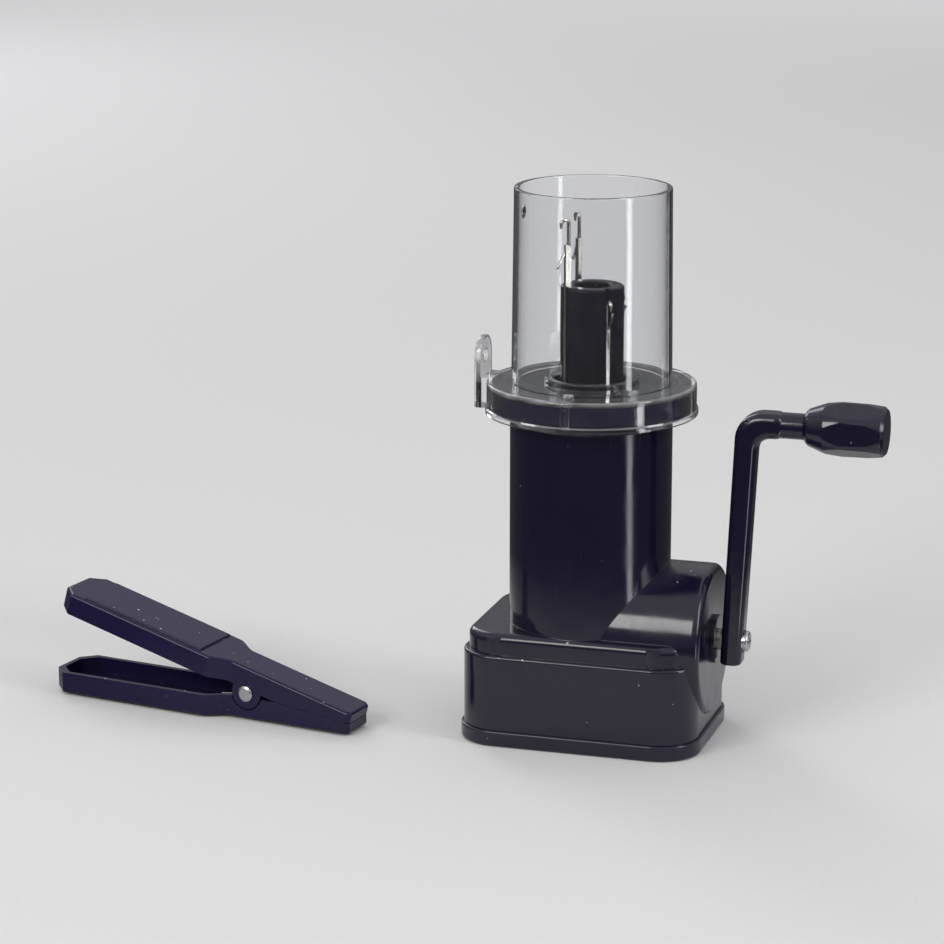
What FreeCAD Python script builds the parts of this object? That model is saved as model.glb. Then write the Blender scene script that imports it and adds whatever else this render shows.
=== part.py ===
"""Hand-cranked cord knitter with its clip weight, as one parametric document in millimetres.

Z is up and the origin is the centre of the cord outlet at the underside.
The crank is on +X, the yarn guide on -X.
"""
import FreeCAD, Part
import math
import os
import Sketcher
from FreeCAD import Placement, Rotation, Vector

doc = FreeCAD.newDocument("cord_knitter")
sheet = doc.addObject("Spreadsheet::Sheet", "Dimensions")
nodes = []


# ---------------------------------------------------------------- sizes and small helpers

class Size:
    """A number that keeps the spreadsheet formula it came from, so that a property can be bound to it."""

    def __init__(self, value, text):
        self.value = float(value)
        self.text = text

    def __add__(self, other):
        return Size(self.value + number(other), f"({self.text} + {formula(other)})")

    def __radd__(self, other):
        return Size(number(other) + self.value, f"({formula(other)} + {self.text})")

    def __sub__(self, other):
        return Size(self.value - number(other), f"({self.text} - {formula(other)})")

    def __rsub__(self, other):
        return Size(number(other) - self.value, f"({formula(other)} - {self.text})")

    def __mul__(self, other):
        return Size(self.value * number(other), f"({self.text} * {formula(other)})")

    __rmul__ = __mul__

    def __truediv__(self, other):
        return Size(self.value / number(other), f"({self.text} / {formula(other)})")

    def __neg__(self):
        return Size(-self.value, f"(0 - {self.text})")


def number(size):
    return size.value if isinstance(size, Size) else float(size)


def formula(size):
    return size.text if isinstance(size, Size) else f"({size})"


def size(alias, value):
    """Writes a driving dimension into the next row of the sheet and gives it back as a Size."""
    size.row += 1
    sheet.set(f"A{size.row}", alias)
    sheet.set(f"B{size.row}", str(value))
    sheet.setAlias(f"B{size.row}", alias)
    return Size(value, f"Dimensions.{alias}")


size.row = 0

TURN_TO_X = Rotation(Vector(0, 1, 0), 90)
TURN_TO_Y = Rotation(Vector(1, 0, 0), -90)
UPRIGHT = Rotation()


def bind(thing, **properties):
    """Sets each property, by expression where its value is a Size."""
    for name, value in properties.items():
        if isinstance(value, Size):
            thing.setExpression(name, value.text)
        else:
            setattr(thing, name, value)
    return thing


def put(thing, x=0, y=0, z=0, turn=UPRIGHT):
    """Places a feature, with each coordinate bound to the sheet where it is a Size."""
    thing.Placement = Placement(Vector(number(x), number(y), number(z)), turn)
    for axis, value in (("x", x), ("y", y), ("z", z)):
        if isinstance(value, Size):
            thing.setExpression(f"Placement.Base.{axis}", value.text)
    return thing


def body(label):
    made = doc.addObject("PartDesign::Body", label)
    made.Label = label
    nodes.append(made)
    return made


def solid(owner, kind, name, x=0, y=0, z=0, turn=UPRIGHT, **sizes):
    """One additive or subtractive primitive of a body, such as AdditiveBox."""
    return put(bind(owner.newObject(f"PartDesign::{kind}", name), **sizes), x, y, z, turn)


def block(owner, kind, name, x, y, z):
    """A box between two limits on each axis, given as pairs."""
    return solid(owner, kind, name, x[0], y[0], z[0],
                 Length=x[1] - x[0], Width=y[1] - y[0], Height=z[1] - z[0])


def outline(owner, name, role, points):
    """A closed outline of straight edges on an origin plane, its corners held by bound constraints."""
    sketch = owner.newObject("Sketcher::SketchObject", name)
    plane = [f for f in owner.Origin.OriginFeatures if f.Role == role][0]
    sketch.AttachmentSupport = (plane, [""])
    sketch.MapMode = "FlatFace"
    corners = [Vector(number(u), number(v), 0) for u, v in points]
    count = len(corners)
    for i in range(count):
        sketch.addGeometry(Part.LineSegment(corners[i], corners[(i + 1) % count]))
    for i in range(count):
        sketch.addConstraint(Sketcher.Constraint("Coincident", i, 2, (i + 1) % count, 1))
    for i, (u, v) in enumerate(points):
        for kind, axis, value in (("DistanceX", -2, u), ("DistanceY", -1, v)):
            if number(value) == 0:
                sketch.addConstraint(Sketcher.Constraint("PointOnObject", i, 1, axis))
                continue
            held = sketch.addConstraint(Sketcher.Constraint(kind, -1, 1, i, 1, number(value)))
            if isinstance(value, Size):
                sketch.setExpression(f"Constraints[{held}]", value.text)
    return sketch


def rounded_block(owner, kind, name, x, y, z, corner):
    """A Pad or Pocket of a rectangle with rounded corners, between two limits on each axis."""
    sketch = owner.newObject("Sketcher::SketchObject", name + "_outline")
    plane = [f for f in owner.Origin.OriginFeatures if f.Role == "XY_Plane"][0]
    sketch.AttachmentSupport = (plane, [""])
    sketch.MapMode = "FlatFace"
    start = z[1] if kind == "Pocket" else z[0]
    sketch.AttachmentOffset = Placement(Vector(0, 0, number(start)), Rotation())
    if isinstance(start, Size):
        sketch.setExpression("AttachmentOffset.Base.z", start.text)
    (west, east), (south, north) = x, y
    radius = number(corner)
    left, right, low, high = (number(west) + radius, number(east) - radius,
                              number(south) + radius, number(north) - radius)
    centres = [(right, low), (right, high), (left, high), (left, low)]
    arcs = []
    for i, (u, v) in enumerate(centres):
        circle = Part.Circle(Vector(u, v, 0), Vector(0, 0, 1), radius)
        arcs.append(Part.ArcOfCircle(circle, math.radians(90 * i - 90), math.radians(90 * i)))
    for i, arc in enumerate(arcs):
        sketch.addGeometry(arc)
        sketch.addGeometry(Part.LineSegment(arc.EndPoint, arcs[(i + 1) % 4].StartPoint))
    for i in range(8):
        sketch.addConstraint(Sketcher.Constraint("Tangent", i, 2, (i + 1) % 8, 1))
    for i in (2, 4, 6):
        sketch.addConstraint(Sketcher.Constraint("Equal", 0, i))
    held = [(sketch.addConstraint(Sketcher.Constraint("Radius", 0, radius)), corner)]
    for line, kind_of, value in ((1, "DistanceX", east), (3, "DistanceY", north),
                                 (5, "DistanceX", west), (7, "DistanceY", south)):
        lie = "Vertical" if kind_of == "DistanceX" else "Horizontal"
        sketch.addConstraint(Sketcher.Constraint(lie, line))
        distance = Sketcher.Constraint(kind_of, -1, 1, line, 1, number(value))
        held.append((sketch.addConstraint(distance), value))
    for index, value in held:
        if isinstance(value, Size):
            sketch.setExpression(f"Constraints[{index}]", value.text)
    feature = owner.newObject(f"PartDesign::{kind}", name)
    feature.Profile = sketch
    return bind(feature, Length=z[1] - z[0])


def turned(owner, name, points):
    """A shape turned about Z from its half section, given as (radius, height) corners."""
    sketch = outline(owner, name + "_section", "XZ_Plane", points)
    feature = owner.newObject("PartDesign::Revolution", name)
    feature.Profile = sketch
    feature.ReferenceAxis = (sketch, ["V_Axis"])
    feature.Angle = 360
    return feature


def extruded(owner, name, role, points, length, kind="Pad"):
    """An outline on an origin plane, pushed out or cut in equally on both sides."""
    sketch = outline(owner, name + "_outline", role, points)
    feature = owner.newObject(f"PartDesign::{kind}", name)
    feature.Profile = sketch
    feature.Midplane = True
    return bind(feature, Length=length)


def rounded(owner, name, radius, wanted):
    """Fillets the edges of the body so far that the test picks out."""
    doc.recompute()
    tip = owner.Tip
    chosen = [f"Edge{i + 1}" for i, edge in enumerate(tip.Shape.Edges) if wanted(edge)]
    if not chosen:
        raise ValueError(f"{name}: no edge to round")
    feature = owner.newObject("PartDesign::Fillet", name)
    feature.Base = (tip, chosen)
    return bind(feature, Radius=radius)


def feature_part(label, shape, placement=None):
    """A sub-part whose shape is worked out in code."""
    made = doc.addObject("Part::Feature", label)
    made.Label = label
    made.Shape = shape
    if placement is not None:
        made.Placement = placement
    nodes.append(made)
    return made


def level(edge, height, axis="z", ends=2):
    """True if the whole edge lies at that height on the axis, or with ends=1 if it only reaches up to it."""
    box = edge.BoundBox
    low, high = getattr(box, axis.upper() + "Min"), getattr(box, axis.upper() + "Max")
    return abs(high - number(height)) < 0.01 and (ends == 1 or abs(low - number(height)) < 0.01)


def upright(edge):
    box = edge.BoundBox
    return box.XLength < 0.01 and box.YLength < 0.01


# ---------------------------------------------------------------- driving dimensions

total_height = size("total_height", 154)
guard_seat = size("guard_seat", 98.4)          # where the clear guard's floor meets the rim
guard_floor = size("guard_floor", 1.6)
guard_foot_radius = size("guard_foot_radius", 22.2)
guard_mouth_radius = size("guard_mouth_radius", 21.6)
guard_wall = size("guard_wall", 1.4)
flange_radius = size("flange_radius", 29)
skirt_height = size("skirt_height", 8.5)
skirt_wall = size("skirt_wall", 1.3)
barrel_radius = size("barrel_radius", 22.5)
shell_wall = size("shell_wall", 2)
rim_radius = size("rim_radius", 27.4)
rim_height = size("rim_height", 6)
rim_flare = size("rim_flare", 3)
nib_bore = size("nib_bore", 11.2)              # collar round the opening in the guard's floor
nib_radius = size("nib_radius", 13.2)
nib_height = size("nib_height", 1.6)
lip_proud = size("lip_proud", 0.5)             # bead round the foot of the guard's skirt
lip_height = size("lip_height", 1.2)
guide_half_width = size("guide_half_width", 5.5)
guide_reach = size("guide_reach", 3.4)
guide_thickness = size("guide_thickness", 2)
guide_height = size("guide_height", 11)
guide_eye_radius = size("guide_eye_radius", 2.1)
feed_hole_radius = size("feed_hole_radius", 1.75)
block_back = size("block_back", -32)           # the base block's ends along X
block_front = size("block_front", 35)
block_half_width = size("block_half_width", 25)
block_top = size("block_top", 32)
block_corner = size("block_corner", 11)
shoulder_height = size("shoulder_height", 26)   # where the block steps in
shoulder_inset = size("shoulder_inset", 1.5)
tray_height = size("tray_height", 4.5)
tray_proud = size("tray_proud", 0.8)
tray_floor = size("tray_floor", 2.5)
shaft_height = size("shaft_height", 29)
hump_radius = size("hump_radius", 21)
hump_end = size("hump_end", 36)
cam_ledge = size("cam_ledge", 50)
cam_radius = size("cam_radius", 20.4)
cam_bore = size("cam_bore", 13.4)
butt_low = size("butt_low", 58.5)              # underside of a lowered needle's butt
butt_height = size("butt_height", 3)
needle_lift = size("needle_lift", 22)
cam_play = size("cam_play", 0.4)
cam_flange_radius = size("cam_flange_radius", 24.4)
cam_flange = size("cam_flange", 1.4)
key_half_width = size("key_half_width", 1.5)    # the key that stops the cams from turning
key_height = size("key_height", 42)
ledge_thickness = size("ledge_thickness", 2)
ledge_bore = size("ledge_bore", 12)
cylinder_radius = size("cylinder_radius", 8.75)
cylinder_bore = size("cylinder_bore", 5)
cylinder_top = size("cylinder_top", 127)
journal_radius = size("journal_radius", 7)
journal_shoulder = size("journal_shoulder", 18)
slot_half_width = size("slot_half_width", 0.66)
slot_floor = size("slot_floor", 6.8)
running_play = size("running_play", 0.06)
shaft_radius = size("shaft_radius", 3)
bush_start = size("bush_start", 19.6)
bush_radius = size("bush_radius", 5)
bush_flange_radius = size("bush_flange_radius", 6.8)
bush_flange = size("bush_flange", 1.2)
square_half = size("square_half", 2.1)
square_length = size("square_length", 5.3)
crank_throw = size("crank_throw", 62)
arm_near = size("arm_near", 38)                # the arm's face on the shaft's shoulder
arm_thickness = size("arm_thickness", 6)
arm_half_width = size("arm_half_width", 4)
arm_foot = size("arm_foot", 6.5)               # how far the arm reaches below the shaft
stem_radius = size("stem_radius", 3.6)
stem_end = size("stem_end", 60)
elbow_radius = size("elbow_radius", 8)         # round the outside of the elbow
stem_start = size("stem_start", 7.4)           # length of the elbow that still has the arm's section
knob_length = size("knob_length", 22)
spindle_radius = size("spindle_radius", 2.5)
post_radius = size("post_radius", 3.4)
pilot_depth = size("pilot_depth", 17)
screw_radius = size("screw_radius", 1.25)
screw_play = size("screw_play", 0.25)
lever_handle = size("lever_handle", 64)        # clip: pivot to handle end, and pivot to jaw tip
lever_jaw = size("lever_jaw", 33)
jaw_half_width = size("jaw_half_width", 6)
handle_half_width = size("handle_half_width", 9.5)
pad_half_width = size("pad_half_width", 8.2)
pad_height = size("pad_height", 0.6)
lever_wall = size("lever_wall", 1.5)
lever_depth = size("lever_depth", 6.2)
lever_pivot = size("lever_pivot", 7.5)         # pin above the lever's back
ear_radius = size("ear_radius", 4.6)
pin_radius = size("pin_radius", 1.5)

track_slope_run = size("track_slope_run", 10.8)

flange_top = guard_seat + guard_floor
POSTS = [(-21, -20.5), (-21, 20.5), (24, -20.5), (24, 20.5)]
SEAT_KEY = 1.1                                 # half width of the guard's keys
PAST = 1                                       # how far a cut runs past the face that it opens
FAR = 60                                       # reach of a cut that ends outside the object


# ---------------------------------------------------------------- main housing

def main_housing():
    """Barrel, base block, gear hump and rim, moulded in one piece and open underneath."""
    made = body("main_housing")
    rounded_block(made, "Pad", "base_block", (block_back, block_front), (-block_half_width, block_half_width),
                  (tray_height, shoulder_height), block_corner)
    rounded(made, "block_shoulder_edge", 0.8, lambda e: level(e, shoulder_height))
    rounded_block(made, "Pad", "block_shoulder", (block_back + shoulder_inset, block_front - shoulder_inset),
                  (shoulder_inset - block_half_width, block_half_width - shoulder_inset),
                  (shoulder_height, block_top), block_corner - shoulder_inset)
    rounded(made, "block_top_edge", 2.2, lambda e: level(e, block_top))
    solid(made, "AdditiveCylinder", "barrel", z=tray_height,
          Radius=barrel_radius, Height=guard_seat - tray_height)
    solid(made, "AdditiveCylinder", "hump", z=shaft_height, turn=TURN_TO_X,
          Radius=hump_radius, Height=hump_end)
    rounded(made, "hump_end_edge", 2, lambda e: level(e, hump_end, "x"))
    solid(made, "AdditiveCylinder", "rim", z=guard_seat - rim_height, Radius=rim_radius, Height=rim_height)
    solid(made, "AdditiveCone", "rim_underside", z=guard_seat - rim_height - rim_flare,
          Radius1=barrel_radius, Radius2=barrel_radius + 2.5, Height=rim_flare)
    inner = barrel_radius - shell_wall
    block(made, "SubtractiveBox", "underside_trim", (-FAR, FAR), (-FAR, FAR), (-FAR, tray_height))
    solid(made, "SubtractiveCylinder", "cam_chamber", z=cam_ledge + ledge_thickness, Radius=inner, Height=FAR)
    solid(made, "SubtractiveCylinder", "cam_flange_seat", z=guard_seat - cam_flange,
          Radius=cam_flange_radius + 0.2, Height=cam_flange + PAST)
    solid(made, "SubtractiveCylinder", "ledge_hole", z=cam_ledge - PAST, Radius=ledge_bore,
          Height=ledge_thickness + 2 * PAST)
    solid(made, "SubtractiveCylinder", "gear_chamber", z=tray_height - PAST, Radius=inner,
          Height=cam_ledge - tray_height + PAST)
    rounded_block(made, "Pocket", "block_cavity", (block_back + shell_wall, block_front - shell_wall),
                  (shell_wall - block_half_width, block_half_width - shell_wall),
                  (tray_height - PAST, shoulder_height - 1), block_corner - shell_wall)
    inset = shoulder_inset + shell_wall
    rounded_block(made, "Pocket", "shoulder_cavity", (block_back + inset, block_front - inset),
                  (inset - block_half_width, block_half_width - inset),
                  (shoulder_height - 2, block_top - shell_wall), block_corner - inset)
    solid(made, "SubtractiveCylinder", "hump_cavity", z=shaft_height, turn=TURN_TO_X,
          Radius=hump_radius - shell_wall + 0.2, Height=hump_end - shell_wall - 0.5)
    for i, (x, y) in enumerate(POSTS):
        solid(made, "AdditiveCylinder", f"screw_post_{i}", x, y, tray_height,
              Radius=post_radius, Height=block_top - tray_height - 1)
        solid(made, "SubtractiveCylinder", f"screw_pilot_{i}", x, y, tray_height - PAST, Radius=screw_radius,
              Height=pilot_depth + PAST)
    solid(made, "AdditiveCylinder", "bearing_boss", bush_start, 0, shaft_height, TURN_TO_X,
          Radius=bush_radius + shell_wall, Height=hump_end - bush_start - 1)
    solid(made, "SubtractiveCylinder", "bearing_bore", bush_start - PAST, 0, shaft_height, TURN_TO_X,
          Radius=bush_radius, Height=hump_end - bush_start + 2 * PAST)
    block(made, "AdditiveBox", "cam_key", (-inner - 0.5, 1.3 - inner), (-key_half_width, key_half_width),
          (cam_ledge + 1, cam_ledge + key_height))
    for side in (-1, 1):
        ends = sorted((side * (rim_radius.value - 1.1), side * (rim_radius.value + PAST)))
        block(made, "SubtractiveBox", f"guard_key_slot_{side + 1}", (-SEAT_KEY - 0.2, SEAT_KEY + 0.2), ends,
              (guard_seat - rim_height - PAST, guard_seat + PAST))
    return made


COVER_HEAD = 2.6                    # head radius of the tray's screws
COVER_SEAT = 2                      # depth of the recesses that their heads sit in


def base_cover():
    """Tray that closes the underside, with the cord's outlet and the lower bearing of the needle cylinder."""
    made = body("base_cover")
    rounded_block(made, "Pad", "tray", (block_back - tray_proud, block_front + tray_proud),
                  (-block_half_width - tray_proud, block_half_width + tray_proud), (0, tray_height),
                  block_corner + tray_proud)
    rounded(made, "tray_foot_edge", 1, lambda e: level(e, 0))
    rounded(made, "tray_top_edge", 0.5, lambda e: level(e, tray_height))
    rounded_block(made, "Pocket", "tray_cavity", (block_back + shell_wall, block_front - shell_wall),
                  (shell_wall - block_half_width, block_half_width - shell_wall),
                  (tray_floor, tray_height + PAST), block_corner - shell_wall)
    solid(made, "AdditiveCylinder", "outlet_collar", z=1, Radius=journal_radius + 3.5, Height=4)
    solid(made, "SubtractiveCylinder", "lower_bearing", z=tray_floor, Radius=journal_radius + running_play,
          Height=tray_height)
    outlet = cylinder_bore + 1
    solid(made, "SubtractiveCylinder", "cord_outlet", z=-PAST, Radius=outlet, Height=tray_height)
    solid(made, "SubtractiveCone", "outlet_flare", z=-0.5, Radius1=outlet + 1.5, Radius2=outlet, Height=1.5)
    for i, (x, y) in enumerate(POSTS):
        solid(made, "AdditiveCylinder", f"cover_post_{i}", x, y, 1,
              Radius=post_radius, Height=tray_height - 1)
        solid(made, "SubtractiveCylinder", f"screw_hole_{i}", x, y, -PAST, Radius=screw_radius + screw_play,
              Height=tray_height + 2 * PAST)
        solid(made, "SubtractiveCylinder", f"head_recess_{i}", x, y, -PAST, Radius=COVER_HEAD + 0.3,
              Height=COVER_SEAT + PAST)
    return made


def screw_shape(head_radius, head_height, shank_radius, length):
    """Pan-head screw with a cross recess, its head on the XY plane and its shank along +Z."""
    head = Part.makeCylinder(head_radius, head_height, Vector(0, 0, -head_height))
    head = head.makeFillet(head_height * 0.45, [e for e in head.Edges if level(e, -head_height)])
    point_start = length - shank_radius
    shank = Part.makeCylinder(shank_radius, point_start)
    point = Part.makeCone(shank_radius, shank_radius * 0.2, shank_radius, Vector(0, 0, point_start))
    arm, slot, depth = head_radius * 1.2, head_radius * 0.2, head_height * 0.6
    cross = Part.makeBox(arm, slot, depth, Vector(-arm / 2, -slot / 2, -head_height))
    cross = cross.fuse(Part.makeBox(slot, arm, depth, Vector(-slot / 2, -arm / 2, -head_height)))
    return head.fuse([shank, point]).removeSplitter().cut(cross)


def cover_screws():
    """Four self-tapping screws that hold the tray, driven in from below."""
    screw = screw_shape(COVER_HEAD, 1.7, screw_radius.value, 18)
    copies = [screw.translated(Vector(x, y, COVER_SEAT)) for x, y in POSTS]
    return feature_part("cover_screws", Part.makeCompound(copies))


# ---------------------------------------------------------------- clear guard

GATE_PLACE = 24.8                   # where the two moulding gates leave a pip on the flange


def clear_guard():
    """Clear tube, floor, flange and skirt in one moulding, with the yarn guide on its skirt."""
    made = body("clear_guard")
    skirt_foot = flange_top - skirt_height
    inner_skirt = flange_radius - skirt_wall
    lip_radius = flange_radius + lip_proud
    turned(made, "guard_turned", [
        (nib_bore, guard_seat), (nib_bore, flange_top + nib_height), (nib_radius, flange_top + nib_height),
        (nib_radius, flange_top), (guard_foot_radius - guard_wall, flange_top),
        (guard_mouth_radius - guard_wall, total_height), (guard_mouth_radius, total_height),
        (guard_foot_radius, flange_top), (flange_radius, flange_top),
        (flange_radius, skirt_foot + lip_height + 0.4), (lip_radius, skirt_foot + lip_height),
        (lip_radius, skirt_foot), (inner_skirt, skirt_foot), (inner_skirt, guard_seat)])
    rounded(made, "flange_edge", 0.7, lambda e: level(e, flange_top) and level(e, flange_radius, "x", ends=1))
    rounded(made, "mouth_edges", 0.4, lambda e: level(e, total_height))
    rounded(made, "nib_edges", 0.4, lambda e: level(e, flange_top + nib_height))
    guide_face = -flange_radius - guide_reach
    guide_top = flange_top + guide_height
    block(made, "AdditiveBox", "guide_root", (guide_face, skirt_wall - flange_radius - 0.4),
          (-guide_half_width, guide_half_width), (skirt_foot, flange_top))
    block(made, "AdditiveBox", "guide_plate", (guide_face, guide_face + guide_thickness),
          (-guide_half_width, guide_half_width), (flange_top - 1, guide_top))
    rounded(made, "guide_plate_top", guide_half_width - 0.3,
            lambda e: level(e, guide_top) and e.BoundBox.XLength > 1.9 and e.BoundBox.YLength < 0.01)
    rounded(made, "guide_root_corners", 1.2, lambda e: upright(e) and level(e, guide_face, "x"))
    solid(made, "SubtractiveCylinder", "guide_eye", guide_face - PAST, 0, flange_top + guide_height / 2,
          TURN_TO_X, Radius=guide_eye_radius, Height=guide_thickness + 2 * PAST)
    solid(made, "SubtractiveCylinder", "feed_hole", -guard_foot_radius - PAST, 0, total_height - 8, TURN_TO_X,
          Radius=feed_hole_radius, Height=guard_wall + 3 * PAST)
    for side in (-1, 1):
        ends = sorted((side * (inner_skirt.value - 1), side * (inner_skirt.value + 0.5)))
        block(made, "AdditiveBox", f"seat_key_{side + 1}", (-SEAT_KEY, SEAT_KEY), ends,
              (skirt_foot + 0.6, guard_seat + 0.5))
        solid(made, "AdditiveCone", f"gate_mark_{side + 1}", 0, side * GATE_PLACE, guard_seat + 1,
              Radius1=2, Radius2=1.4, Height=guard_floor + 0.2)
    return made


# ---------------------------------------------------------------- cams and needle cylinder

def cam_line(height):
    """Corners of the cam track's slanted line, from the low stretch on +X to the high stretch on -X."""
    return [(track_slope_run, height), (-track_slope_run, height + needle_lift)]


KEY_WAY = 1.4                       # depth of the slot that each cam sleeve has for the housing's key


def lower_cam_sleeve():
    """Fixed sleeve whose top edge lifts the needle butts."""
    made = body("lower_cam_sleeve")
    foot = cam_ledge + ledge_thickness
    top = butt_low + needle_lift - cam_play
    bore = cylinder_radius + 0.35
    turned(made, "lower_sleeve", [(bore, foot), (cam_radius, foot), (cam_radius, top), (cam_bore, top),
                                  (cam_bore, foot + 4), (bore, foot + 4)])
    right, left = cam_line(butt_low - cam_play)
    extruded(made, "lower_cam_edge", "XZ_Plane",
             [(FAR, right[1]), right, left, (-FAR, left[1]), (-FAR, 2 * FAR), (FAR, 2 * FAR)], FAR, "Pocket")
    block(made, "SubtractiveBox", "lower_key_way", (-cam_radius - PAST, KEY_WAY - cam_radius),
          (-key_half_width - 0.2, key_half_width + 0.2), (foot - PAST, 2 * FAR))
    return made


def upper_cam_sleeve():
    """Fixed sleeve whose lower edge pulls the butts down.

    Its flange is trapped under the guard, and its neck is the upper bearing of the needle cylinder."""
    made = body("upper_cam_sleeve")
    neck = butt_low + butt_height + needle_lift + 4.5
    low = butt_low + butt_height + cam_play
    bore = cylinder_radius + running_play
    flange_foot = guard_seat - cam_flange
    turned(made, "upper_sleeve", [(cam_bore, low), (cam_radius, low), (cam_radius, flange_foot),
                                  (cam_flange_radius, flange_foot), (cam_flange_radius, guard_seat),
                                  (bore + 1, guard_seat), (bore, guard_seat - 1), (bore, neck),
                                  (cam_bore, neck)])
    right, left = cam_line(low)
    extruded(made, "upper_cam_edge", "XZ_Plane",
             [(FAR, right[1]), right, left, (-FAR, left[1]), (-FAR, 0), (FAR, 0)], FAR, "Pocket")
    block(made, "SubtractiveBox", "upper_key_way", (-cam_radius - PAST, KEY_WAY - cam_radius),
          (-key_half_width - 0.2, key_half_width + 0.2), (0, cam_ledge + key_height + 0.2))
    return made


NEEDLE_TURNS = [45, 135, 225, 315]
RAISED = [False, True, True, False]
JOURNAL_FLAT = 6.2                  # from the axis to each of the two flats that carry the gear


def needle_cylinder():
    """Hollow cylinder that carries the needles in four slots. The cord grows down through its bore."""
    made = body("needle_cylinder")
    foot, rim_edge, bore_edge = 3, 0.9, 0.6
    turned(made, "cylinder_turned", [
        (cylinder_bore, foot), (journal_radius, foot), (journal_radius, journal_shoulder),
        (cylinder_radius, journal_shoulder), (cylinder_radius, cylinder_top), (cylinder_bore, cylinder_top)])
    for name, edge, radius in (("rim", rim_edge, cylinder_radius), ("mouth", bore_edge, cylinder_bore)):
        rounded(made, "cylinder_" + name, edge,
                lambda e: level(e, cylinder_top) and level(e, radius, "x", ends=1))
    for side in (-1, 1):
        ends = sorted((side * JOURNAL_FLAT, side * (cylinder_radius.value + PAST)))
        block(made, "SubtractiveBox", f"journal_flat_{side + 1}", (-cylinder_radius, cylinder_radius), ends,
              (6, journal_shoulder))
    first = Rotation(Vector(0, 0, 1), NEEDLE_TURNS[0])
    corner = first.multVec(Vector(slot_floor.value, -slot_half_width.value, 0))
    slot = solid(made, "SubtractiveBox", "needle_slot", corner.x, corner.y, cam_ledge - 2, first,
                 Length=5, Width=slot_half_width * 2, Height=100)
    pattern = made.newObject("PartDesign::PolarPattern", "needle_slots")
    pattern.Originals = [slot]
    pattern.Axis = ([f for f in made.Origin.OriginFeatures if f.Role == "Z_Axis"][0], [""])
    pattern.Angle = 360
    pattern.Occurrences = len(NEEDLE_TURNS)
    made.Tip = pattern
    return made


# ---------------------------------------------------------------- bevel gears

GEAR_MODULE = 1.45
DRIVE_TEETH = 24
CYLINDER_TEETH = 20
FACE_SHARE = 0.7                    # inner end of a tooth, as a share of the cone distance
BACKLASH = 0.3
PRESSURE = math.radians(20)
FIT = 0.02                          # play of a gear on its shaft
SHAFT_FLAT = 2.3                    # from the shaft's axis to the flat that drives the gear
GEAR_BACK = 19.3                    # from the shared apex to the drive gear's hub face


def tooth_outline(teeth, cone_angle):
    """Half outline of one tooth, square to the pitch line, as (half width, height above that line)."""
    pitch = teeth * GEAR_MODULE / 2 / math.cos(cone_angle)
    base = pitch * math.cos(PRESSURE)
    half_at_pitch = math.pi / 2 * GEAR_MODULE / pitch / 2 - BACKLASH / pitch / 4
    involute_pitch = math.tan(PRESSURE) - PRESSURE
    rows = []
    for share in (-1.1, -0.5, 0, 0.5, 1):
        radius = pitch + share * GEAR_MODULE
        angle = math.acos(min(1, base / radius))
        half = half_at_pitch + involute_pitch - (math.tan(angle) - angle)
        rows.append((radius * math.sin(half), radius * math.cos(half) - pitch))
    foot = rows[0]
    return [(foot[0], foot[1] - 0.5 * GEAR_MODULE)] + rows


def bevel_gear(teeth, mate, hub, start=0.0):
    """Bevel gear with its apex at the origin and its axis along +Z, teeth facing the apex, as a solid.

    hub gives the corners behind the teeth as (radius, height), and start turns the first tooth in degrees."""
    pitch_radius = teeth * GEAR_MODULE / 2
    depth = mate * GEAR_MODULE / 2
    cone = math.atan2(pitch_radius, depth)
    along = Vector(math.sin(cone), 0, math.cos(cone))
    out = Vector(math.cos(cone), 0, -math.sin(cone))
    distance = math.hypot(pitch_radius, depth)
    half = tooth_outline(teeth, cone)
    section = [(w, h) for w, h in half] + [(-w, h) for w, h in reversed(half)]
    rings = []
    for share in (1, FACE_SHARE):
        corners = [(along * distance + out * h + Vector(0, w, 0)) * share for w, h in section]
        rings.append(Part.makePolygon(corners + corners[:1]))
    tooth = Part.makeLoft(rings, True, True)
    root = -1.2 * GEAR_MODULE
    outer = along * distance + out * root
    inner = outer * (FACE_SHARE - 0.02)
    outer = outer * 1.02
    blank_points = [(inner.x, inner.z), (outer.x, outer.z)] + hub
    blank_wire = Part.makePolygon([Vector(r, 0, z) for r, z in blank_points + blank_points[:1]])
    blank = Part.Face(blank_wire).revolve(Vector(), Vector(0, 0, 1), 360)
    copies = [tooth.rotated(Vector(), Vector(0, 0, 1), start + 360 * i / teeth) for i in range(teeth)]
    return blank.fuse(copies).removeSplitter()


def cylinder_gear():
    """Bevel gear at the foot of the needle cylinder, on its two journal flats."""
    top = shaft_height.value
    back, foot, face = top - 8, top - 6.05, top - 18
    hub = [(13.6, back), (9.6, back), (9.6, foot), (6.4, foot), (6.4, face), (9, face)]
    gear = bevel_gear(CYLINDER_TEETH, DRIVE_TEETH, hub, start=180 / CYLINDER_TEETH)
    flat = JOURNAL_FLAT + FIT
    bore = Part.makeCylinder(journal_radius.value + FIT, FAR)
    gear = gear.cut(bore.common(Part.makeBox(FAR, 2 * flat, FAR, Vector(-FAR / 2, -flat, 0))))
    return feature_part("cylinder_gear", gear, Placement(Vector(0, 0, top), Rotation(Vector(1, 0, 0), 180)))


def shaft_section(play, length):
    """The shaft's D-shaped drive end along +Z, with its flat towards +X."""
    round_bar = Part.makeCylinder(shaft_radius.value + play, length)
    return round_bar.common(Part.makeBox(FAR, FAR, length, Vector(SHAFT_FLAT + play - FAR, -FAR / 2, 0)))


def drive_gear():
    """Bevel gear on the crank's shaft, held against its hub by a ring."""
    web, face = 17.6, 13.2
    hub = [(16.2, web), (6, web), (6, GEAR_BACK), (2, GEAR_BACK), (2, face), (9, face)]
    gear = bevel_gear(DRIVE_TEETH, CYLINDER_TEETH, hub).cut(shaft_section(FIT, FAR))
    return feature_part("drive_gear", gear, Placement(Vector(0, 0, shaft_height.value), TURN_TO_X))


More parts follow.
